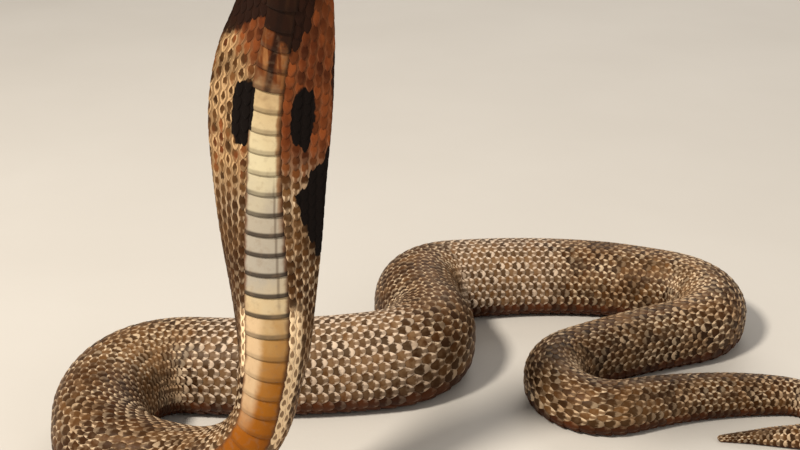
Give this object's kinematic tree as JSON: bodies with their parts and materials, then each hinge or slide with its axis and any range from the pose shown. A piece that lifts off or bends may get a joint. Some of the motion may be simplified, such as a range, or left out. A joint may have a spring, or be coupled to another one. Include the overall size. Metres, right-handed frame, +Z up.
{
  "type": "cobra",
  "caption": "Spectacled cobra lying in loose bends on the floor, with its neck raised, its hood spread and its belly to the viewer.",
  "frame": {"origin": "middle of the footprint of the whole animal, on the floor that its belly rests on", "axes": "+Z up, +X to the viewer's right along the lie of the bends, -Y towards the viewer, the way the raised belly and the head face"},
  "size_m": [0.3538, 0.2878, 0.2451],
  "materials": {
    "head_scales": "smooth horny shields, satin, dark brown",
    "neck_scales": "small scales with pale edges, satin; cream belly plates",
    "body_scales": "small overlapping scales, dark brown with cream flecks, satin",
    "tail_scales": "small overlapping scales, darker than the body, satin",
    "eye": "wet gloss under a clear scale, dark brown with a round black pupil"
  },
  "bodies": {
    "root": {"head": "head_scales", "lower_jaw": "head_scales", "eye_left": "eye", "eye_right": "eye", "hood": "neck_scales", "neck": "neck_scales", "trunk_01": "body_scales", "trunk_02": "body_scales", "trunk_03": "body_scales", "trunk_04": "body_scales", "trunk_05": "body_scales", "trunk_06": "body_scales", "trunk_07": "body_scales", "trunk_08": "body_scales", "trunk_09": "body_scales", "trunk_10": "body_scales", "trunk_11": "body_scales", "trunk_12": "body_scales", "trunk_13": "body_scales", "tail_1": "tail_scales", "tail_2": "tail_scales", "tail_3": "tail_scales"}
  },
  "joints": []
}
